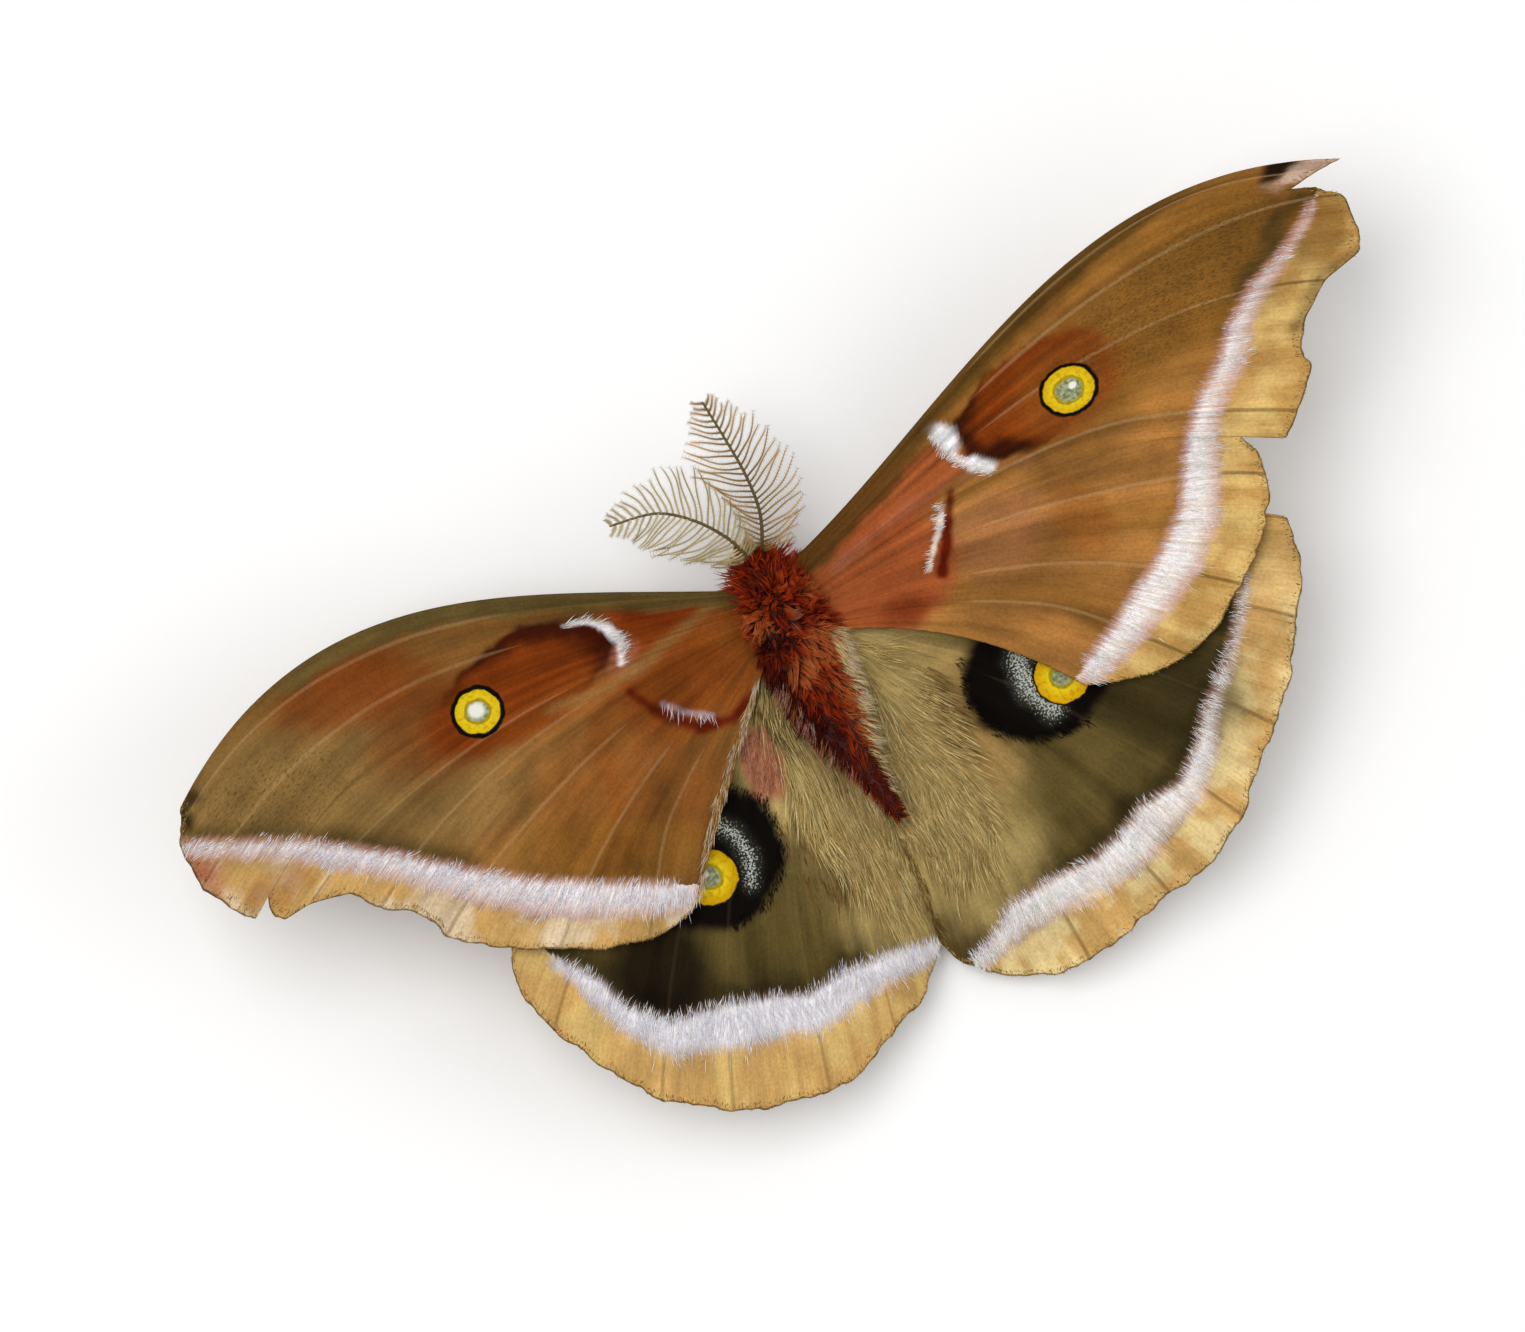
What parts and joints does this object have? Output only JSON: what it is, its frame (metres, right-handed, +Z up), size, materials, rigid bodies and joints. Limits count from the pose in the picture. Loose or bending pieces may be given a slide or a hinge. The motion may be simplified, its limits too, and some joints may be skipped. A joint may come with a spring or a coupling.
{
  "type": "polyphemus moth",
  "caption": "Life-size polyphemus moth at rest, wings spread wide, with eyespots on all four, feathered feelers and six feet on the floor.",
  "frame": {"origin": "Middle of the whole moth's box on the floor, at the level of the soles of its feet.", "axes": "-Y is forwards, towards the head. +X is to the moth's left, along the spread of the wings. +Z is up."},
  "size_m": [0.136, 0.0688, 0.0233],
  "materials": {
    "forewing_scales": "matt scales, tan brown with eyespots and a white and pink band",
    "hindwing_scales": "matt scales, dark olive brown with large yellow eyespots and a white band",
    "body_fur": "long soft fur, dark red brown",
    "leg_fur": "short fur, chestnut",
    "feeler": "matt, straw brown",
    "eye": "glossy, near black"
  },
  "bodies": {
    "root": {"head": "body_fur", "thorax": "body_fur", "abdomen": "body_fur", "palp_left": "body_fur", "palp_right": "body_fur", "eye_left": "eye", "eye_right": "eye", "antenna_left": "feeler", "antenna_right": "feeler", "forewing_left": "forewing_scales", "forewing_right": "forewing_scales", "hindwing_left": "hindwing_scales", "hindwing_right": "hindwing_scales", "leg_front_left": "leg_fur", "leg_front_right": "leg_fur", "leg_middle_left": "leg_fur", "leg_middle_right": "leg_fur", "leg_hind_left": "leg_fur", "leg_hind_right": "leg_fur"}
  },
  "joints": []
}
